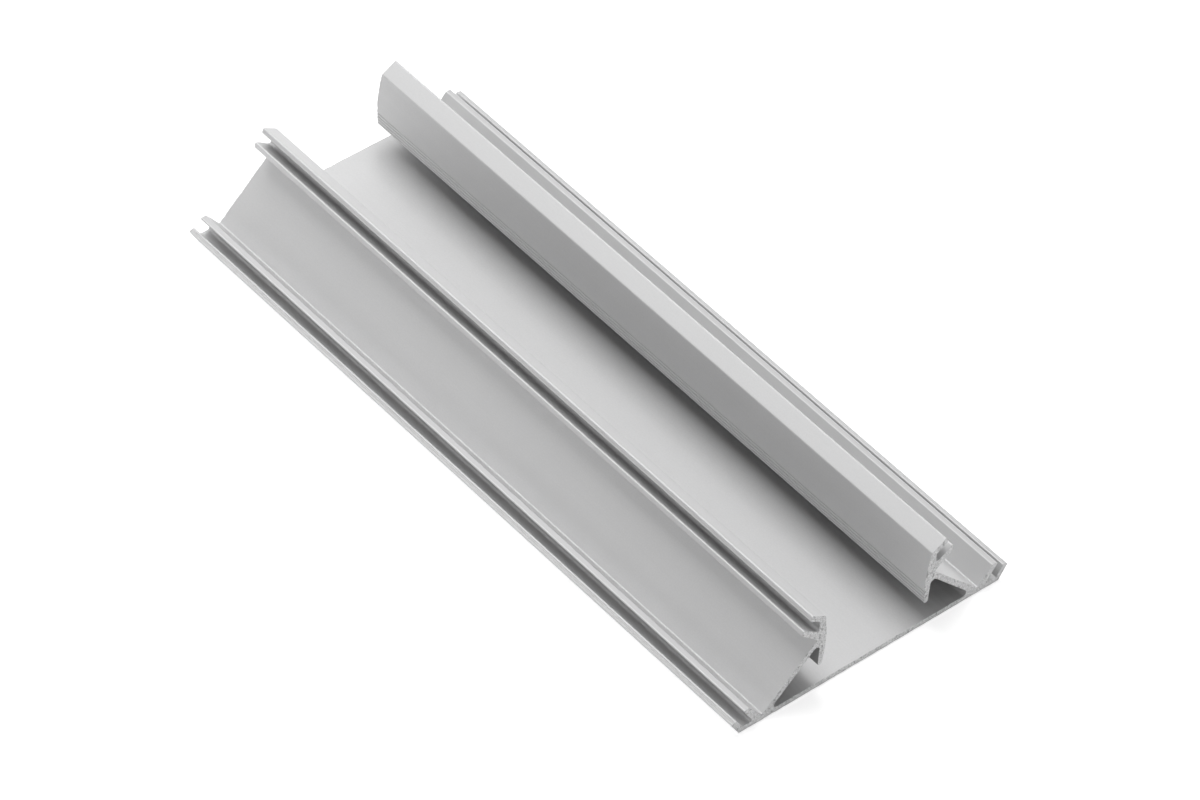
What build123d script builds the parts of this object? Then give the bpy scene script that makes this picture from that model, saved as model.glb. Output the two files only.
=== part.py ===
from build123d import *
import os
from math import cos, radians, sin, tan

# An extruded aluminium profile for LED tape, in millimetres.
# It lies on its base along Y. The origin is under the middle of the base, and Z points up.

# Stock
length = 116.0

# Base plate
base_width = 46.2
base_thickness = 0.9

# Seat: the slanted web at each side that carries the tape
seat_width = 12.4
seat_angle = 45.0
seat_thickness = 0.9
seat_inset = 3.95  # from the base's edge to the foot of the seat
seat_step = 0.1  # the foot of the seat stands this much above the base plate

# Inner lips: they stand at both edges of a seat and lean over it a little
lip_height = 3.8
lip_lean = 4.8
lip_root = 1.1
lip_tip = 1.05
lip_bevel = 41.0

# Cover grooves: between an inner lip and an outer lip
groove_floor = 1.4

# Outer lips: they lean towards the seat's middle and hook over the cover's edges
outer_lip_lean = 14.0
outer_lip_outside = 2.9
outer_lip_inside = 2.1

# Legs: they hang from the heads, and the channel is narrowest where a head passes into its leg
head_bow = 0.58  # from the head's top edge in to the narrowest place of the channel
bow_drop = 5.26  # and down to it
leg_thickness = 1.0
leg_end_width = 0.72
leg_gap = 3.5  # from the leg's end down to the base plate

# Roundings
edge_round = 0.35
lip_round = 0.2
floor_round = 0.15
groove_round = 0.4  # in a cover groove, at the back of its inner lip
seat_round = 0.2
leg_round = 0.3
web_round = 0.6

# The middle of the right seat, and how a point beside it lies in the section
slope = radians(seat_angle)
half_seat = seat_width / 2
half_base = base_width / 2
seat_x = half_base - seat_inset - half_seat * cos(slope)
seat_z = base_thickness + seat_step + half_seat * sin(slope)


def beside_seat(down, out):
    """A point down the seat from its middle, towards the base, and out from its face."""
    return (
        seat_x + down * cos(slope) + out * sin(slope),
        seat_z - down * sin(slope) + out * cos(slope),
    )


def over_seat(point):
    """The same point mirrored over the seat's middle, as the head mirrors the foot."""
    across, up = point[0] - seat_x, point[1] - seat_z
    down = across * cos(slope) - up * sin(slope)
    out = across * sin(slope) + up * cos(slope)
    return beside_seat(-down, out)


def on_floor(down):
    """The point of the base plate's top face that lies this far down the seat's line."""
    out = (base_thickness - seat_z + down * sin(slope)) / cos(slope)
    return beside_seat(down, out)


def along_lip(start, reach):
    """A point that far along the outer lip from where a face of it starts."""
    turn = slope + radians(outer_lip_lean)
    return (start[0] + reach * cos(turn), start[1] + reach * sin(turn))


# Foot of the section: from the base's corner round both lips to the seat
base_corner = (half_base, 0)
outer_lip_edge = along_lip(base_corner, outer_lip_outside)
groove_outer = on_floor(half_seat + lip_root + groove_floor)
outer_lip_hook = along_lip(groove_outer, outer_lip_inside)
groove_inner = on_floor(half_seat + lip_root)
lip_edge_down = half_seat - lip_height * tan(radians(lip_lean))
lip_edge = beside_seat(lip_edge_down, lip_height)
lip_back = beside_seat(
    lip_edge_down + lip_tip * cos(radians(lip_bevel)),
    lip_height + lip_tip * sin(radians(lip_bevel)),
)
seat_foot = beside_seat(half_seat, 0)
foot = [
    base_corner,
    outer_lip_edge,
    outer_lip_hook,
    groove_outer,
    groove_inner,
    lip_back,
    lip_edge,
    seat_foot,
]

# Head of the section: the foot mirrored over the seat's middle
head = [over_seat(point) for point in reversed(foot)]
top_edge = head[-1]

# Leg and the underside of the web
throat = (top_edge[0] - head_bow, top_edge[1] - bow_drop)
leg_x = throat[0] + leg_thickness
leg_inner = (leg_x - leg_end_width, base_thickness + leg_gap)
leg_outer = (leg_x, base_thickness + leg_gap)
under_out = -seat_thickness
leg_root = beside_seat((leg_x - seat_x - under_out * sin(slope)) / cos(slope), under_out)
web_root = beside_seat((seat_z - base_thickness + under_out * cos(slope)) / sin(slope), under_out)

# Roundings of the foot's corners, which the head's corners share, and of the corners below the web
shared_roundings = [
    (edge_round, [base_corner]),
    (lip_round, [outer_lip_edge, outer_lip_hook, lip_back, lip_edge]),
    (floor_round, [groove_outer]),
    (groove_round, [groove_inner]),
    (seat_round, [seat_foot]),
]
lower_roundings = [
    (leg_round, [leg_inner, leg_outer]),
    (web_round, [leg_root, web_root]),
]
roundings = shared_roundings + lower_roundings
roundings += [(radius, [over_seat(p) for p in points]) for radius, points in shared_roundings]

with BuildPart() as led_profile:
    with BuildSketch(Plane.XZ) as section:
        # Right half, round from the middle of the underside
        with BuildLine():
            Polyline((0, 0), *foot, *head)
            ThreePointArc(top_edge, throat, leg_inner)
            Polyline(leg_inner, leg_outer, leg_root, web_root, (0, base_thickness), (0, 0))
        make_face()
        for radius, points in roundings:
            for point in points:
                corner = section.vertices().sort_by_distance((*point, 0))[0]
                fillet(corner, radius)
        mirror(about=Plane.YZ)
    extrude(amount=length / 2, both=True)
led_profile.part.label = "led_profile"

os.makedirs("parts", exist_ok=True)
export_step(led_profile.part, "parts/led_profile.step")
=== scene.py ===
"""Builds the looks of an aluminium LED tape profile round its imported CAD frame.

The stock lies along Y on a pale floor. Its walls are the section carried along Y, with the fine
scores and die lines of an extrusion, and both of its ends are saw cuts.
"""

import bpy
import numpy as np
from bpy.props import FloatProperty, FloatVectorProperty, IntProperty, PointerProperty
from mathutils import Matrix, Vector
from mathutils.geometry import delaunay_2d_cdt


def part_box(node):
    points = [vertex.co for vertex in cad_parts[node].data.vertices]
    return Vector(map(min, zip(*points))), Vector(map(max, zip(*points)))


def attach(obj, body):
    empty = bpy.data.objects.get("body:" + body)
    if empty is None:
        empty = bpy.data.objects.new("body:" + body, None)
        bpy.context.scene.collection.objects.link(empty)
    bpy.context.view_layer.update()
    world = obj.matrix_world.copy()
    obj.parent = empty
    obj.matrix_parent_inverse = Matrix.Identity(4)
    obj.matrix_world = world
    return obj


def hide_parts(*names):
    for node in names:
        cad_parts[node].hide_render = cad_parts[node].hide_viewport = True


bl_info = {
    "name": "LED tape profile",
    "version": (1, 0, 0),
    "blender": (4, 5, 0),
    "location": "3D View > Sidebar > Profile",
    "description": "Builds an anodised aluminium profile for LED tape, and its studio",
    "category": "Add Mesh",
}

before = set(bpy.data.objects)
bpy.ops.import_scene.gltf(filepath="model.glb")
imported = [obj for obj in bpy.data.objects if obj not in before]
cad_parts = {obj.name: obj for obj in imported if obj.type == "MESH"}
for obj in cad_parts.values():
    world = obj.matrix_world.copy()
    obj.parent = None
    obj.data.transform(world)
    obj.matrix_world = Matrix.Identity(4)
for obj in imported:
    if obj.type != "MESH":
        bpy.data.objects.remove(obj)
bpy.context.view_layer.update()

NODE = "led_profile"
STOCK_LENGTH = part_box(NODE)[1].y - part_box(NODE)[0].y
RUN_MAP = "run"  # UV map in metres: round the section, and along the stock

# Attributes of the stock's points, from 0 to 1
WEAR_NAME = "edge_wear"
POCKET_NAME = "pocket"
PAINTED_LIP_NAME = "painted_lip_mask"
SUNK_NAME = "sunk"

WHITE = (1, 1, 1)

# Unevenness of a cut's edge: the length of each wave in metres, and its share
RIM_WAVES = ((0.0009, 0.7), (0.0003, 0.5))
BURR_WAVES = ((0.0011, 1.0), (0.0002, 0.4))


def length(name, description, millimetres):
    """A length property. Its default is given in millimetres and kept in metres."""
    return FloatProperty(
        name=name,
        description=description,
        default=millimetres / 1000,
        min=0,
        precision=5,
        unit="LENGTH",
    )


def angle(name, description, degrees):
    """An angle property. Its default is given in degrees and kept in radians."""
    return FloatProperty(
        name=name, description=description, default=float(np.radians(degrees)), subtype="ANGLE"
    )


def share(name, description, default):
    """A plain number between 0 and 1."""
    return FloatProperty(
        name=name, description=description, default=default, min=0, max=1, subtype="FACTOR"
    )


def whole_number(name, description, default, most):
    """A number of lines or chips."""
    return IntProperty(name=name, description=description, default=default, min=0, max=most)


def lamp_power(name, description, watts):
    """The power of a lamp, in watts."""
    return FloatProperty(name=name, description=description, default=watts, unit="POWER")


def colour(name, description, default):
    """A linear colour property."""
    return FloatVectorProperty(
        name=name, description=description, default=default, size=3, min=0, max=1, subtype="COLOR"
    )


class SectionSizes(bpy.types.PropertyGroup):
    """Sizes of the extruded section, as in the CAD, and of the fine lines that only show here."""

    stock_length: length("Stock length", "Length of the stock along Y", STOCK_LENGTH * 1000)
    base_width: length("Base width", "Width of the flat base", 46.2)
    base_thickness: length("Base thickness", "Thickness of the flat base", 0.9)
    seat_width: length("Seat width", "Width of the slanted seat for the tape", 12.4)
    seat_angle: angle("Seat angle", "Slant of the seat", 45)
    seat_thickness: length("Seat thickness", "Thickness of the slanted web", 0.9)
    seat_inset: length("Seat inset", "From the base's edge to the foot of the seat", 3.95)
    seat_step: length("Seat step", "Height of the seat's foot above the base plate", 0.1)
    lip_height: length("Inner lip height", "Height of the lips beside the seat", 3.8)
    lip_lean: angle("Inner lip lean", "How far the inner lips lean over the seat", 4.8)
    lip_root: length("Inner lip root", "Thickness of an inner lip at its root", 1.1)
    lip_tip: length("Inner lip tip", "Width of an inner lip's slanted tip", 1.05)
    lip_bevel: angle("Inner lip bevel", "Slant of an inner lip's tip", 41)
    groove_floor: length("Groove floor", "Width of a cover groove at its floor", 1.4)
    outer_lip_lean: angle("Outer lip lean", "How far the outer lips lean to the seat's middle", 14)
    outer_lip_outside: length("Outer lip outside", "Height of an outer lip on its outside", 2.9)
    outer_lip_inside: length("Outer lip inside", "Height of an outer lip in its groove", 2.1)
    head_bow: length("Head bow", "From the head's top edge in to the channel's waist", 0.58)
    bow_drop: length("Bow drop", "From the head's top edge down to the channel's waist", 5.26)
    leg_thickness: length("Leg thickness", "Thickness of a leg", 1.0)
    leg_end_width: length("Leg end width", "Width of a leg's lower end", 0.72)
    leg_gap: length("Leg gap", "From a leg's end down to the base plate", 3.5)
    edge_round: length("Edge rounding", "Radius of the outer edges", 0.35)
    lip_round: length("Lip rounding", "Radius of the lips' edges", 0.2)
    floor_round: length("Outer lip root", "Radius at the foot of an outer lip", 0.15)
    groove_round: length("Groove rounding", "Radius at an inner lip's back, in its groove", 0.4)
    seat_round: length("Seat rounding", "Radius at the seat's ends", 0.2)
    leg_round: length("Leg rounding", "Radius of a leg's end", 0.3)
    web_round: length("Web rounding", "Radius below the slanted web", 0.6)
    score_count: whole_number("Scores", "Fine grooves on the channel side of each leg", 4, 12)
    score_pitch: length("Score pitch", "Distance between two of those grooves", 0.6)
    score_width: length("Score width", "Width of such a groove", 0.36)
    score_depth: length("Score depth", "Depth of such a groove", 0.12)
    score_start: length("Score start", "From a leg's end to the first groove", 0.5)
    flute_count: whole_number("Flutes", "Fine flutes along the tip of each outer lip", 2, 8)
    flute_pitch: length("Flute pitch", "Distance between two flutes", 0.22)
    flute_width: length("Flute width", "Width of a flute", 0.2)
    flute_depth: length("Flute depth", "Depth of a flute", 0.04)


class CutSizes(bpy.types.PropertyGroup):
    """Sizes of what the saw leaves at the two ends."""

    rim: length("Rim", "Mean radius of the cut's broken edge", 0.075)
    rim_change: length("Rim change", "How much that radius changes along the edge", 0.045)
    burr: length("Burr", "How far the burr stands proud of the wall", 0.05)
    chip_depth: length("Chip depth", "Depth of the largest chips", 0.2)
    chip_count: whole_number("Chips", "Chips round each cut", 44, 200)


class FinishSettings(bpy.types.PropertyGroup):
    """Colours and gloss of the metal."""

    anodised: colour("Anodised", "Colour of the anodised skin", (0.75, 0.75, 0.752))
    line_shade: colour("Die lines", "Colour in the die lines", (0.715, 0.715, 0.717))
    # Painted shade: a darker colour deep in the grooves and under the webs, where less light
    # reaches
    painted_pocket_shade: colour("Pockets", "Colour in the grooves and under the webs", (0.45, 0.45, 0.452))
    # Painted shade: a darker colour on the lips' tips and on the inner lips' sides that face the
    # seats
    painted_lip_tone: colour("Lips", "Colour of the lips where hands dulled them", (0.66, 0.66, 0.662))
    # Painted shade: a darker colour at the bottom of the scores and flutes
    painted_score_shade: colour("Scores", "Colour at the bottom of the fine grooves", (0.54, 0.54, 0.542))
    sawn: colour("Sawn", "Colour of the bare sawn metal", (0.8, 0.8, 0.802))
    fleck: colour("Flecks", "Colour of the dark flecks in the cut", (0.26, 0.26, 0.262))
    roughness: share("Roughness", "Roughness of the anodised skin", 0.7)
    sawn_roughness: share("Sawn roughness", "Roughness of the cut", 0.65)


class StageSettings(bpy.types.PropertyGroup):
    """Floor, light and camera."""

    floor: colour("Floor", "Colour of the floor", (0.93, 0.93, 0.93))
    floor_reach: FloatProperty(
        name="Floor reach", description="Half the floor's width", default=3.0, unit="LENGTH"
    )
    floor_drop: length("Floor drop", "Gap between the base and the floor", 0.02)
    floor_lift: share("Floor lift", "How much the floor is lifted where the camera sees it", 0.64)
    floor_gloss: share("Floor in gloss", "How much it is lifted where the metal shows it", 0.3)
    light_level: share("Light level", "Strength of the surrounding light", 0.6)
    ceiling: share("Ceiling", "Strength overhead, as a share of the horizon's", 0.46)
    left_side: share("Left side", "Strength high on the left, as a share of the right's", 0.38)
    main_power: lamp_power("Main lamp", "Power of the soft lamp overhead", 1.54)
    fill_power: lamp_power("Fill lamp", "Power of the soft lamp at the back left", 0.145)
    low_power: lamp_power("Low lamp", "Power of the low soft lamp at the back right", 0.2)
    sensor_width: FloatProperty(
        name="Sensor width", description="Width of the camera's sensor", default=36, unit="CAMERA"
    )
    lens: FloatProperty(
        name="Lens", description="Focal length of the camera's lens", default=205.25, unit="CAMERA"
    )


def unit(vectors):
    """Each vector divided by its own length."""
    return vectors / np.linalg.norm(vectors, axis=-1, keepdims=True)


def turned(vectors, angles):
    """Each vector turned anticlockwise: (x cos a - y sin a, x sin a + y cos a)."""
    x, y = vectors[..., 0], vectors[..., 1]
    cosine, sine = np.cos(angles), np.sin(angles)
    return np.stack([x * cosine - y * sine, x * sine + y * cosine], -1)


def rounded(corners, radii, before, after, steps=7, margin=0.00002):
    """The corners of an open run, each replaced by an arc that touches both of its sides.

    Where the run turns by t, an arc of radius r starts r tan(t / 2) before the corner, and its
    points are the centre plus r times the start direction turned by k t, with k from 0 to 1. One
    more point lies a margin away on each side, so that a smoothed flat stays flat.
    """
    way_in = unit(corners - np.vstack([before, corners[:-1]]))
    way_out = unit(np.vstack([corners[1:], after]) - corners)
    cross = way_in[:, 0] * way_out[:, 1] - way_in[:, 1] * way_out[:, 0]
    turn = np.arctan2(cross, (way_in * way_out).sum(1))
    reach = radii * np.tan(np.abs(turn) / 2)
    start = corners - way_in * reach[:, None]
    inward = turned(way_in, np.sign(turn) * np.pi / 2)
    centre = start + inward * radii[:, None]
    swept = turned(inward[:, None], turn[:, None] * np.linspace(0, 1, steps))
    arc = centre[:, None] - swept * radii[:, None, None]
    lead_in = start - way_in * margin
    lead_out = corners + way_out * (reach + margin)[:, None]
    return np.concatenate([lead_in[:, None], arc, lead_out[:, None]], 1).reshape(-1, 2)


def arc_through(first, middle, last, shares):
    """Points of the circle through three points: centre + r (cos a, sin a), from first to last."""
    rows = np.array([middle - first, last - first])
    centre = np.linalg.solve(2 * rows, (rows * (rows + 2 * first)).sum(1))
    start = np.arctan2(*(first - centre)[::-1])
    sweep = np.arctan2(*(last - centre)[::-1]) - start
    sweep = (sweep + np.pi) % (2 * np.pi) - np.pi
    angles = start + sweep * shares
    radius = np.linalg.norm(first - centre)
    return centre + radius * np.stack([np.cos(angles), np.sin(angles)], -1)


def evenly(first, last, count, pitch):
    """Places spaced evenly about the middle of a flat."""
    steps = (np.arange(count) - (count - 1) / 2) * pitch
    return (first + last) / 2 + steps[:, None] * unit(last - first)


def fine_lines(places, width, height):
    """Fine lines at these places of the outline, as rows (x, z, width, height)."""
    return np.column_stack([places, np.full(len(places), width), np.full(len(places), height)])


def half_section(s):
    """The right half of the outline, anticlockwise from under the middle to the base plate's top.

    A point of the foot is the seat's middle plus its distance down the seat and its height off it,
    and the head is the foot mirrored over that middle. Head and leg face the channel with one arc.
    Returns the points, and the fine lines on them: scores on the leg, and flutes along the tips of
    both outer lips.
    """
    slope = s.seat_angle
    along = np.array([np.cos(slope), -np.sin(slope)])
    out = np.array([np.sin(slope), np.cos(slope)])
    half_seat, half_base = s.seat_width / 2, s.base_width / 2
    foot_of_seat = np.array([half_base - s.seat_inset, s.base_thickness + s.seat_step])
    middle = foot_of_seat - along * half_seat

    def beside_seat(down, off):
        return middle + along * down + out * off

    def on_floor(down):
        off = (s.base_thickness - middle[1] + down * np.sin(slope)) / np.cos(slope)
        return beside_seat(down, off)

    lean = slope + s.outer_lip_lean
    lip_way = np.array([np.cos(lean), np.sin(lean)])
    base_corner = np.array([half_base, 0])
    groove_outer = on_floor(half_seat + s.lip_root + s.groove_floor)
    lip_edge_down = half_seat - s.lip_height * np.tan(s.lip_lean)
    foot = np.array(
        [
            base_corner,
            base_corner + lip_way * s.outer_lip_outside,
            groove_outer + lip_way * s.outer_lip_inside,
            groove_outer,
            on_floor(half_seat + s.lip_root),
            beside_seat(
                lip_edge_down + s.lip_tip * np.cos(s.lip_bevel),
                s.lip_height + s.lip_tip * np.sin(s.lip_bevel),
            ),
            beside_seat(lip_edge_down, s.lip_height),
            foot_of_seat,
        ]
    )
    radii = np.array(
        [
            s.edge_round,
            s.lip_round,
            s.lip_round,
            s.floor_round,
            s.groove_round,
            s.lip_round,
            s.lip_round,
            s.seat_round,
        ]
    )
    head = foot - 2 * ((foot - middle) @ along)[:, None] * along

    top_edge = head[0]
    throat = top_edge - (s.head_bow, s.bow_drop)
    leg_x = throat[0] + s.leg_thickness
    leg_top = s.base_thickness + s.leg_gap
    leg_inner = np.array([leg_x - s.leg_end_width, leg_top])
    leg_outer = np.array([leg_x, leg_top])
    under = -s.seat_thickness
    to_leg = (leg_x - middle[0] - under * np.sin(slope)) / np.cos(slope)
    to_floor = (middle[1] - s.base_thickness + under * np.cos(slope)) / np.sin(slope)
    leg_root = beside_seat(to_leg, under)
    web_root = beside_seat(to_floor, under)

    bow_steps = 170
    bow_start, bow_end = 0.04, 0.955  # shares of the arc, whose ends are rounded off
    bow = arc_through(top_edge, throat, leg_inner, np.linspace(bow_start, bow_end, bow_steps))
    both_radii = np.concatenate([radii, radii[::-1]])
    upper = rounded(np.vstack([foot, head[::-1]]), both_radii, (0, 0), bow[0])
    lower = rounded(
        np.array([leg_inner, leg_outer, leg_root, web_root]),
        np.array([s.leg_round, s.leg_round, s.web_round, s.web_round]),
        bow[-1],
        (0, s.base_thickness),
    )
    above_end = np.linalg.norm(bow - leg_inner, axis=1)[::-1]
    score_places = s.score_start + np.arange(s.score_count) * s.score_pitch
    score_x = np.interp(score_places, above_end, bow[::-1, 0])
    score_z = np.interp(score_places, above_end, bow[::-1, 1])
    on_tips = [evenly(lip[1], lip[2], s.flute_count, s.flute_pitch) for lip in (foot, head)]
    scores = fine_lines(np.column_stack([score_x, score_z]), s.score_width, -s.score_depth)
    flutes = fine_lines(np.vstack(on_tips), s.flute_width, -s.flute_depth)
    points = np.vstack([[0, 0], upper, bow, lower, [0, s.base_thickness]])
    return points, np.vstack([scores, flutes])


def section_ring(s, spacing=0.0004, keep_off=0.00012, least=0.000008, across=9, tries=24000):
    """The closed outline, anticlockwise: points, outward ways, places along it, moves, perimeter.

    The left half is the right one mirrored. A flat gets a point every spacing, except within
    keep_off of one that it has, and a fine line gets as many as across says, by reading the outline
    at more places along it. Of points nearer than least to each other one stays. The middle of a
    fine line is the nearest of the places tried. At a distance d from it, up to half the line's
    width, the outline moves outwards by height * (0.5 + 0.5 cos(2 pi d / width)).
    """
    half, half_lines = half_section(s)
    closed = np.vstack([half, half[-2::-1] * (-1, 1)])
    lines = np.vstack([half_lines, half_lines * (-1, 1, 1, 1)])
    places = np.concatenate([[0], np.cumsum(np.linalg.norm(np.diff(closed, axis=0), axis=1))])
    perimeter = places[-1]

    way_out = unit(closed[1:] - closed[:-1])
    way_in = unit(closed[:-1] - np.roll(closed[:-1], 1, axis=0))
    corner_way = unit(way_out + way_in)
    corner_way[0] = (1, 0)
    corner_way = np.vstack([corner_way, (1, 0)])

    def read(values, at):
        return np.stack([np.interp(at, places, column) for column in values.T], 1)

    steps = np.linspace(0, perimeter, tries)
    apart = np.linalg.norm(read(closed, steps)[:, None] - lines[:, :2], axis=2)
    middle, width, height = steps[apart.argmin(0)], lines[:, 2], lines[:, 3]
    fine = (middle[:, None] + width[:, None] * np.linspace(-0.5, 0.5, across)).reshape(-1)
    more = np.arange(spacing, perimeter, spacing)
    after = np.searchsorted(places, more)
    gap = np.minimum(places[after] - more, more - places[after - 1])
    run = np.sort(np.concatenate([places[:-1], more[gap > keep_off], fine]))
    run = run[np.diff(run, prepend=-1) > least]
    ring = read(closed, run)
    way = unit(read(corner_way, run))
    outward = np.stack([way[:, 1], -way[:, 0]], 1)
    off = np.abs(run[:, None] - middle) / width
    moved = (height * (0.5 + 0.5 * np.cos(2 * np.pi * off)) * (off < 0.5)).sum(1)
    return ring + outward * moved[:, None], outward, run, moved, perimeter


def sharpness(ring, full=4000):
    """How strongly the outline turns outwards at each point, from 0 to 1.

    It is the turn there over the mean length of the two sides, as a share of a full one in radians
    per metre.
    """
    back, ahead = ring - np.roll(ring, 1, axis=0), np.roll(ring, -1, axis=0) - ring
    turn = np.arctan2(back[:, 0] * ahead[:, 1] - back[:, 1] * ahead[:, 0], (back * ahead).sum(1))
    bend = turn / (np.linalg.norm(back, axis=1) + np.linalg.norm(ahead, axis=1)) * 2
    return np.clip(bend / full, 0, 1)


def pocketed(ring, outward, rays=23, spread=1.45, lift=0.00002, reach=0.02, tiny=1e-12):
    """How enclosed each point of the outline is, and how far away its surroundings are.

    A ray leaves along the outward direction turned by an angle between -spread and spread, and
    counts with the cosine of that angle. It is stopped where it crosses an edge of the outline:
    with the edge's ends a and b and the ray's start and way, start + t way = a + u (b - a) has
    t > 0 and 0 <= u <= 1. The first result is the share of the rays that are stopped, and the
    second is the mean way of all rays, which is reach for an open one.
    """
    start = ring + outward * lift
    edge = np.roll(ring, -1, axis=0) - ring
    stopped, room = np.zeros(len(ring)), np.zeros(len(ring))
    weight = 0
    for turn in np.linspace(-spread, spread, rays):
        way = turned(outward, turn)[:, None]
        apart = ring - start[:, None]
        cross = way[..., 0] * edge[:, 1] - way[..., 1] * edge[:, 0]
        cross = np.where(np.abs(cross) < tiny, tiny, cross)
        t = (apart[..., 0] * edge[:, 1] - apart[..., 1] * edge[:, 0]) / cross
        u = (apart[..., 0] * way[..., 1] - apart[..., 1] * way[..., 0]) / cross
        nearest = np.where((t > 0) & (u >= 0) & (u <= 1), t, reach).min(1)
        stopped += np.cos(turn) * (nearest < reach)
        room += np.cos(turn) * nearest
        weight += np.cos(turn)
    return stopped / weight, room / weight


def smoothstep(values, low, high):
    """3 t^2 - 2 t^3, where t goes from 0 at low to 1 at high."""
    t = np.clip((values - low) / (high - low), 0, 1)
    return t * t * (3 - 2 * t)


def painted_lip_mask(ring, outward, pocket, sizes):
    """Painted shade on the lips: 1 on the tips of the lips and on the sides of the inner lips that
    face the seats, else 0.

    A tip is open nearly all round and faces straight up. A side faces up the seat, less the lip's
    lean. Each of these is a smoothstep between a low and a high mark.
    """
    open_marks, upright_marks, side_marks = (0.32, 0.22), (0.9, 0.96), (0.99, 0.997)
    tips = smoothstep(pocket, *open_marks) * smoothstep(outward[:, 1], *upright_marks)
    turn = sizes.seat_angle - sizes.lip_lean
    inwards = -outward[:, 0] * np.sign(ring[:, 0])
    sides = smoothstep(inwards * np.cos(turn) + outward[:, 1] * np.sin(turn), *side_marks)
    return np.maximum(tips, sides)


def wander(places, spacing, dice):
    """Smooth noise along a line: a seeded value at every step, joined by smoothstep curves."""
    cell = places / spacing
    left = np.floor(cell).astype(int)
    values = dice.uniform(-1, 1, left.max() + 2)
    t = smoothstep(cell - left, 0, 1)
    return values[left] * (1 - t) + values[left + 1] * t


def uneven(places, waves, dice):
    """Smooth noises along a line, each with its own spacing, added by their shares."""
    return sum(part * wander(places, spacing, dice) for spacing, part in waves)


def cut_edge(run, perimeter, sizes, flatness, seed):
    """Radius of the broken edge round one cut, and its burr, for each point of the outline.

    The radius is a mean, plus noise along the outline, plus bell curves where the edge is chipped.
    The burr is noise where it is above zero. Flatness, from 0 to 1, keeps chips off the corners.
    """
    least, most = 0.00001, 0.00012  # of the unchipped radius
    narrow, wide = 0.00008, 0.0003  # of a chip's width
    shallow, bias = 0.2, 1.5  # a chip's depth is a draw from shallow to 1, to the power of bias
    dice = np.random.default_rng(seed)
    radius = sizes.rim + sizes.rim_change * uneven(run, RIM_WAVES, dice)
    where = dice.uniform(0, perimeter, sizes.chip_count)
    width = dice.uniform(narrow, wide, sizes.chip_count)
    depth = sizes.chip_depth * dice.uniform(shallow, 1, sizes.chip_count) ** bias
    bells = depth * np.exp(-(((run[:, None] - where) / width) ** 2))
    radius = np.clip(radius, least, most) + bells.max(1) * flatness
    burr = sizes.burr * np.clip(uneven(run, BURR_WAVES, dice), 0, 1)
    return radius, burr


def end_rows(sizes, run, perimeter, flatness, seed, steps=5, burr_reach=0.00022):
    """Rows of one end, from the cut inwards, as (distance from the cut, offset into the metal).

    With a from 90 to 0 degrees round the broken edge of radius r, a row lies r (1 - sin a) from the
    cut and r (1 - cos a) into the metal. The rows beyond it lie on the wall, nearest first. A burr
    of height b lifts a row by b exp(-(distance / reach) ** 2), except at the corners.
    """
    radius, burr = cut_edge(run, perimeter, sizes, flatness, seed)
    turn = np.linspace(np.pi / 2, 0, steps)[:, None]
    depth = radius * (1 - np.sin(turn))
    inset = radius * (1 - np.cos(turn))
    beyond = np.array([0.00003, 0.0001, 0.0002, 0.00035, 0.0006])[:, None]
    depth = np.vstack([depth, radius + beyond])
    inset = np.vstack([inset, np.zeros((len(beyond), len(run)))])
    return depth, inset - burr * np.exp(-((depth / burr_reach) ** 2)) * flatness


def extruded(sizes, cut, clear=0.002, rows=24, corner=0.0005, bent=0.02, opening=0.1):
    """The whole stock as arrays: the outline is the first parameter, the place along Y the second.

    A point is the outline's point moved into the metal by the end's offset, at the row's place
    along Y. The rows between the two ends stay clear of them: each lies at half the length less
    clear, times the sine of an even step. Flatness is 0 where the outline is bent and on the
    underside, and grows to 1 over the length of a corner. The pocket mark carries painted shade,
    and near an end, where light comes in at the cut, that shade fades: at a distance d it loses
    opening * (1 - d / sqrt(d^2 + room^2)) of its value. Returns the points, the places along the
    outline, and the attributes of the points by name.
    """
    ring, outward, run, moved, perimeter = section_ring(sizes)
    edge = sharpness(ring)
    to_edge = np.abs(run[:, None] - run[edge > bent]).min(1)
    flatness = np.clip(to_edge / corner, 0, 1) * (ring[:, 1] > sizes.base_thickness / 4)
    near_depth, near_inset = end_rows(cut, run, perimeter, flatness, seed=11)
    far_depth, far_inset = end_rows(cut, run, perimeter, flatness, seed=23)
    half = sizes.stock_length / 2
    places = (half - clear) * np.sin(np.linspace(-np.pi / 2, np.pi / 2, rows))
    between = places[:, None] * np.ones(len(run))
    along = np.vstack([near_depth - half, between, (half - far_depth)[::-1]])
    inset = np.vstack([near_inset, np.zeros_like(between), far_inset[::-1]])
    flat = ring - outward * inset[:, :, None]
    points = np.stack([flat[..., 0], along, flat[..., 1]], -1)
    pocket, room = pocketed(ring, outward)
    inside = half - np.abs(along)
    # Painted shade in the pockets, fading a little near the cuts, where light comes in at the open
    # end
    closed = pocket * (1 - opening * (1 - inside / np.hypot(inside, room)))
    even = np.ones_like(along)
    marks = {
        WEAR_NAME: even * edge,
        POCKET_NAME: closed,
        PAINTED_LIP_NAME: even * painted_lip_mask(ring, outward, pocket, sizes),
        SUNK_NAME: even * np.clip(-moved / sizes.score_depth, 0, 1),
    }
    return points, np.append(run, perimeter), marks


def grid_faces(rows, columns):
    """Quads of a grid that closes round its columns, turned so that they face outwards."""
    j, i = np.meshgrid(np.arange(rows - 1), np.arange(columns), indexing="ij")
    ahead = (i + 1) % columns
    here, above = j * columns, (j + 1) * columns
    quads = np.stack([here + i, above + i, above + ahead, here + ahead])
    return quads.reshape(4, -1).T


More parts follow.
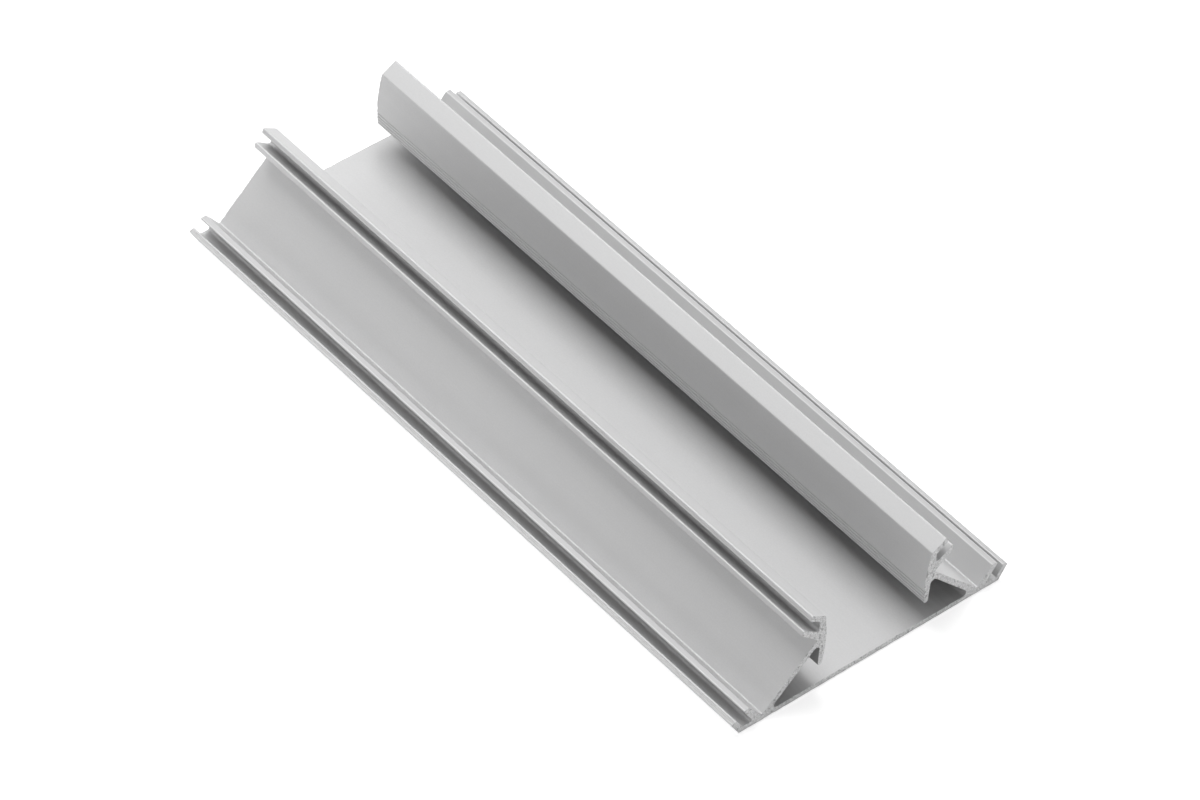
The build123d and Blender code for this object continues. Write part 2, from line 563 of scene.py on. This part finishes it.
def cap_faces(outline, inside_only=1, nearness=1e-9):
    """Triangles of the inside of a closed outline, anticlockwise."""
    corners = [Vector(point) for point in outline]
    loop = [list(range(len(outline)))]
    points, _, faces, kept, _, _ = delaunay_2d_cdt(corners, [], loop, inside_only, nearness)
    if len(points) != len(outline):
        raise RuntimeError("the cut's outline crosses itself")
    origin = np.array([own[0] for own in kept])
    return origin[np.array([list(face) for face in faces])]


def opaque(rgb):
    """A colour with its alpha."""
    return (*rgb, 1.0)


class Wire:
    """A node's output. Arithmetic on it adds Math nodes, with the number on either side."""

    def __init__(self, sheet, socket):
        self.sheet = sheet
        self.socket = socket

    def other(self, name):
        """Another output of the same node."""
        return Wire(self.sheet, self.socket.node.outputs[name])

    def join(self, operation, first, second):
        """A Math node on two wires or numbers."""
        return self.sheet.add("ShaderNodeMath", {"operation": operation}, {0: first, 1: second})

    def __add__(self, number):
        return self.join("ADD", self, number)

    def __radd__(self, number):
        return self.join("ADD", number, self)

    def __sub__(self, number):
        return self.join("SUBTRACT", self, number)

    def __rsub__(self, number):
        return self.join("SUBTRACT", number, self)

    def __mul__(self, number):
        return self.join("MULTIPLY", self, number)

    def __rmul__(self, number):
        return self.join("MULTIPLY", number, self)


class Sheet:
    """A node tree, cleared and ready for new nodes."""

    def __init__(self, tree):
        self.tree = tree
        self.tree.nodes.clear()

    def add(self, kind, settings=None, inputs=None, output=0):
        """A node of that type: its settings are set first, then its sockets' values or links."""
        node = self.tree.nodes.new(kind)
        for name, value in (settings or {}).items():
            setattr(node, name, value)
        for name, value in (inputs or {}).items():
            if isinstance(value, Wire):
                self.tree.links.new(value.socket, node.inputs[name])
            else:
                node.inputs[name].default_value = value
        return Wire(self, node.outputs[output]) if len(node.outputs) else None

    def attribute(self, name):
        """A point attribute of the mesh."""
        return self.add("ShaderNodeAttribute", {"attribute_name": name}, output="Fac")

    def noise(self, place, cells, detail, roughness):
        """Noise between 0 and 1, with so many cells per metre along each axis of the place."""
        stretched = {"Vector": place, "Scale": cells}
        spread = self.add("ShaderNodeMapping", {"vector_type": "POINT"}, stretched)
        return self.add(
            "ShaderNodeTexNoise",
            {"noise_dimensions": "3D"},
            {"Vector": spread, "Scale": 1.0, "Detail": detail, "Roughness": roughness},
        )

    def step(self, value, low, high):
        """Smoothstep from 0 at low to 1 at high."""
        return self.add(
            "ShaderNodeMapRange",
            {"interpolation_type": "SMOOTHSTEP", "clamp": True},
            {"Value": value, "From Min": low, "From Max": high},
        )

    def blend(self, factor, first, second):
        """Two colours mixed by a factor. A colour is a wire, or red, green and blue."""
        first, second = (end if isinstance(end, Wire) else opaque(end) for end in (first, second))
        sockets = {0: factor, 6: first, 7: second}
        return self.add("ShaderNodeMix", {"data_type": "RGBA", "clamp_factor": True}, sockets, 2)

    def metal(self, tone, roughness, bump):
        """The output of a bare metal's material."""
        inputs = {"Base Color": tone, "Metallic": 1.0, "Roughness": roughness, "Normal": bump}
        skin = self.add("ShaderNodeBsdfPrincipled", None, inputs)
        self.add("ShaderNodeOutputMaterial", None, {"Surface": skin})


def anodised_material(finish):
    """Matt anodised skin with faint long die lines, fine grain and faint clouds.

    It has painted shade on the lips' tips and on the inner lips' sides that face the seats, at the
    bottom of the scores and flutes, and deep in the pockets.
    """
    material = bpy.data.materials.new("anodised_aluminium")
    material.use_nodes = True
    sheet = Sheet(material.node_tree)
    run = sheet.add("ShaderNodeUVMap", {"uv_map": RUN_MAP})
    place = sheet.add("ShaderNodeTexCoord", output="Object")
    wear = sheet.attribute(WEAR_NAME)
    pocket = sheet.attribute(POCKET_NAME)
    lip_shading = sheet.attribute(PAINTED_LIP_NAME)
    sunk = sheet.attribute(SUNK_NAME)

    fine = sheet.noise(run, cells=(5200, 26, 1), detail=3, roughness=0.6)
    broad = sheet.noise(run, cells=(900, 7, 1), detail=2, roughness=0.5)
    grain = sheet.noise(place, cells=(5200, 4200, 5200), detail=2, roughness=0.6)
    clouds = sheet.noise(place, cells=(70, 45, 70), detail=3, roughness=0.55)

    lines = 0.6 * fine + 0.4 * broad
    shade = sheet.step(0.5 * lines + 0.5 * grain + 0.5 * (clouds - 0.5), low=0.3, high=0.7)
    open_tone = sheet.blend(shade, finish.line_shade, finish.anodised)
    # Painted shade on the lips' tips and on the inner lips' sides that face the seats
    lip_tone = sheet.blend(lip_shading, open_tone, finish.painted_lip_tone)
    # Painted shade at the bottom of the scores and flutes
    scored = sheet.blend(sunk, lip_tone, finish.painted_score_shade)
    # Painted shade: darker deep in the pockets, where the outline encloses the point
    tone = sheet.blend(sheet.step(pocket, low=0.65, high=1.05), scored, finish.painted_pocket_shade)
    roughness = finish.roughness + 0.06 * (lines - 0.5) + 0.08 * (clouds - 0.5) - 0.08 * wear
    relief = 0.3 * fine + 0.2 * broad + 0.8 * grain
    bump_inputs = {"Strength": 0.22, "Distance": 0.00003, "Height": relief}
    sheet.metal(tone, roughness, sheet.add("ShaderNodeBump", None, bump_inputs))
    return material


def sawn_material(finish):
    """Bare sawn metal: shallow arcs of the blade, torn grain and dark flecks."""
    material = bpy.data.materials.new("sawn_aluminium")
    material.use_nodes = True
    sheet = Sheet(material.node_tree)
    place = sheet.add("ShaderNodeTexCoord", output="Object")
    hub = (0.06, 0.0, 0.14)  # the middle of the saw's blade
    offset = sheet.add(
        "ShaderNodeVectorMath", {"operation": "DISTANCE"}, {0: place, 1: hub}, output="Value"
    )
    swept = sheet.add("ShaderNodeCombineXYZ", None, {"X": offset})
    arcs = sheet.noise(swept, cells=(5200, 1, 1), detail=2, roughness=0.6)
    grain = sheet.noise(place, cells=(5200, 5200, 5200), detail=3, roughness=0.65)
    torn = sheet.noise(place, cells=(2600, 2600, 1500), detail=2, roughness=0.6)
    flecks = sheet.step(torn + 0.4 * (grain - 0.5), low=0.57, high=0.68)
    shade = sheet.step(0.3 * arcs + 0.7 * grain, low=0.38, high=0.62)
    bare = sheet.blend(0.5 + 0.5 * shade, finish.fleck, finish.sawn)
    tone = sheet.blend(0.7 * flecks, bare, finish.fleck)
    roughness = finish.sawn_roughness + 0.2 * (grain - 0.5)
    relief = 0.3 * arcs + 1.0 * grain - 0.8 * flecks
    bump_inputs = {"Strength": 0.8, "Distance": 0.00009, "Height": relief}
    sheet.metal(tone, roughness, sheet.add("ShaderNodeBump", None, bump_inputs))
    return material


class PROFILE_OT_extrusion(bpy.types.Operator):
    """Build the extruded aluminium stock"""

    bl_idname = "profile.extrusion"
    bl_label = "Extruded stock"

    def execute(self, context):
        scene = context.scene
        points, run, marks = extruded(scene.profile_section, scene.profile_cut)
        rows, columns = points.shape[:2]
        quads = grid_faces(rows, columns)
        near = cap_faces(points[0][:, [0, 2]])
        far = cap_faces(points[-1][:, [0, 2]])[:, ::-1] + (rows - 1) * columns
        mesh = bpy.data.meshes.new("extruded_stock")
        vertices = points.reshape(-1, 3)
        mesh.from_pydata(vertices.tolist(), [], quads.tolist() + near.tolist() + far.tolist())

        quad_u = np.stack([run[:-1], run[:-1], run[1:], run[1:]], 1)
        quad_u = np.broadcast_to(quad_u, (rows - 1, columns, 4)).reshape(-1)
        quad_v = vertices[quads.reshape(-1), 1]
        cap_corners = np.concatenate([near.reshape(-1), far.reshape(-1)])
        u = np.concatenate([quad_u, vertices[cap_corners, 0]])
        v = np.concatenate([quad_v, vertices[cap_corners, 2]])
        mesh.uv_layers.new(name=RUN_MAP).data.foreach_set("uv", np.stack([u, v], 1).reshape(-1))
        for name, values in marks.items():
            mark = mesh.attributes.new(name, "FLOAT", "POINT")
            mark.data.foreach_set("value", values.reshape(-1))

        caps = len(near) + len(far)
        bare_rows = 3  # of the broken edge, where the saw has taken the skin off
        sawn = np.zeros((rows - 1, columns), int)
        sawn[:bare_rows] = sawn[-bare_rows:] = 1
        kinds = np.concatenate([sawn.reshape(-1), np.ones(caps, int)])
        smooth = np.concatenate([np.ones(len(quads), bool), np.zeros(caps, bool)])
        mesh.materials.append(anodised_material(scene.profile_finish))
        mesh.materials.append(sawn_material(scene.profile_finish))
        mesh.polygons.foreach_set("material_index", kinds)
        mesh.polygons.foreach_set("use_smooth", smooth)
        mesh.validate()
        mesh.update()

        stock = bpy.data.objects.new("extruded_stock", mesh)
        scene.collection.objects.link(stock)
        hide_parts(NODE)
        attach(stock, "root")
        return {"FINISHED"}


def seen_rays(sheet, direct=1.0, in_gloss=1.0):
    """By how much the background is lifted where it is seen, directly and in gloss or glass."""
    rays = sheet.add("ShaderNodeLightPath", output="Is Camera Ray")
    indirect = rays.join("MAXIMUM", rays.other("Is Glossy Ray"), rays.other("Is Transmission Ray"))
    return rays.join("MAXIMUM", direct * rays, in_gloss * indirect)


def studio_world(stage):
    """White round the horizon, softer overhead and on the left, and at a plain level as a light."""
    world = bpy.data.worlds.new("studio")
    world.use_nodes = True
    world.cycles.sampling_method = "NONE"
    sheet = Sheet(world.node_tree)
    way = sheet.add("ShaderNodeTexCoord", output="Generated")
    across = sheet.add("ShaderNodeSeparateXYZ", None, {"Vector": way})
    up = across.other("Z")
    leftwards = sheet.step(-1 * across, low=-0.1, high=0.7) * sheet.step(up, low=0.0, high=0.3)
    upwards = sheet.step(up, low=0.15, high=0.7)
    fall = (1 - (1 - stage.ceiling) * upwards) * (1 - (1 - stage.left_side) * leftwards)
    level = stage.light_level + (1 - stage.light_level) * seen_rays(sheet)
    white_sky = {"Color": opaque(WHITE), "Strength": level * fall}
    light = sheet.add("ShaderNodeBackground", None, white_sky)
    sheet.add("ShaderNodeOutputWorld", None, {"Surface": light})
    return world


def floor_material(stage):
    """Pale matt floor. What the light leaves of it is lifted to white, so the soft shadow stays."""
    material = bpy.data.materials.new("pale_floor")
    material.use_nodes = True
    sheet = Sheet(material.node_tree)
    matt = sheet.add("ShaderNodeBsdfDiffuse", None, {"Color": opaque(stage.floor)})
    seen = seen_rays(sheet, stage.floor_lift, stage.floor_gloss)
    lift = sheet.add("ShaderNodeEmission", None, {"Color": opaque(WHITE), "Strength": seen})
    both = sheet.add("ShaderNodeAddShader", None, {0: matt, 1: lift})
    sheet.add("ShaderNodeOutputMaterial", None, {"Surface": both})
    return material


def soft_lamp(name, place, width, power):
    """A square area lamp that faces the middle of the stock, and that the camera doesn't see."""
    light = bpy.data.lights.new(name, "AREA")
    light.shape = "SQUARE"
    light.size = width
    light.energy = power
    lamp = bpy.data.objects.new(name, light)
    lamp.location = place
    lamp.rotation_mode = "QUATERNION"
    lamp.rotation_quaternion = Vector(place).to_track_quat("Z", "Y")
    lamp.visible_camera = False
    return lamp


def photo_camera(stage):
    """The camera at the photo's angle. Its axes are its right, its up and its back."""
    eye = bpy.data.cameras.new("photo_camera")
    eye.sensor_fit = "HORIZONTAL"
    eye.sensor_width = stage.sensor_width
    eye.lens = stage.lens
    right = Vector((0.7637, -0.6425, 0.0627)).normalized()
    back = Vector((-0.4890, -0.5124, 0.7059)).normalized()
    up = back.cross(right)
    place = Matrix.Translation((-0.4569, -0.4807, 0.6624))
    camera = bpy.data.objects.new("photo_camera", eye)
    camera.matrix_world = place @ Matrix((right, up, back)).transposed().to_4x4()
    return camera


class PROFILE_OT_stage(bpy.types.Operator):
    """Set up the pale floor, the soft studio light and the camera"""

    bl_idname = "profile.stage"
    bl_label = "Studio stage"

    def execute(self, context):
        scene = context.scene
        stage = scene.profile_stage
        reach = stage.floor_reach
        corners = np.array([[-1, -1, 0], [1, -1, 0], [1, 1, 0], [-1, 1, 0]]) * reach
        corners = corners - (0, 0, stage.floor_drop)
        mesh = bpy.data.meshes.new("floor")
        mesh.from_pydata(corners.tolist(), [], [[0, 1, 2, 3]])
        mesh.materials.append(floor_material(stage))
        floor = bpy.data.objects.new("floor", mesh)
        scene.collection.objects.link(floor)

        scene.world = studio_world(stage)

        lamps = (
            soft_lamp("main_lamp", (0.028, 0.194, 0.514), width=0.4, power=stage.main_power),
            soft_lamp("fill_lamp", (-0.22, 0.24, 0.22), width=0.2, power=stage.fill_power),
            soft_lamp("low_lamp", (0.43, 0.26, 0.09), width=0.2, power=stage.low_power),
        )
        camera = photo_camera(stage)
        for one in (*lamps, camera):
            scene.collection.objects.link(one)
        scene.camera = camera
        scene.view_settings.view_transform = "Standard"
        return {"FINISHED"}


class PROFILE_PT_sidebar(bpy.types.Panel):
    """Sizes, colours and the buttons that build the pieces"""

    bl_idname = "PROFILE_PT_sidebar"
    bl_label = "LED tape profile"
    bl_space_type = "VIEW_3D"
    bl_region_type = "UI"
    bl_category = "Profile"

    def draw(self, context):
        scene = context.scene
        section, cut = scene.profile_section, scene.profile_cut
        for group in (section, cut, scene.profile_finish, scene.profile_stage):
            column = self.layout.column(align=True)
            for name in group.bl_rna.properties.keys():
                if name not in {"rna_type", "name"}:
                    column.prop(group, name)
        self.layout.operator(PROFILE_OT_extrusion.bl_idname)
        self.layout.operator(PROFILE_OT_stage.bl_idname)


CLASSES = (
    SectionSizes,
    CutSizes,
    FinishSettings,
    StageSettings,
    PROFILE_OT_extrusion,
    PROFILE_OT_stage,
    PROFILE_PT_sidebar,
)


def register():
    for one in CLASSES:
        bpy.utils.register_class(one)
    bpy.types.Scene.profile_section = PointerProperty(type=SectionSizes)
    bpy.types.Scene.profile_cut = PointerProperty(type=CutSizes)
    bpy.types.Scene.profile_finish = PointerProperty(type=FinishSettings)
    bpy.types.Scene.profile_stage = PointerProperty(type=StageSettings)


def unregister():
    del bpy.types.Scene.profile_stage
    del bpy.types.Scene.profile_finish
    del bpy.types.Scene.profile_cut
    del bpy.types.Scene.profile_section
    for one in reversed(CLASSES):
        bpy.utils.unregister_class(one)


def main():
    register()
    bpy.ops.profile.extrusion()
    bpy.ops.profile.stage()


if __name__ == "__main__":
    main()
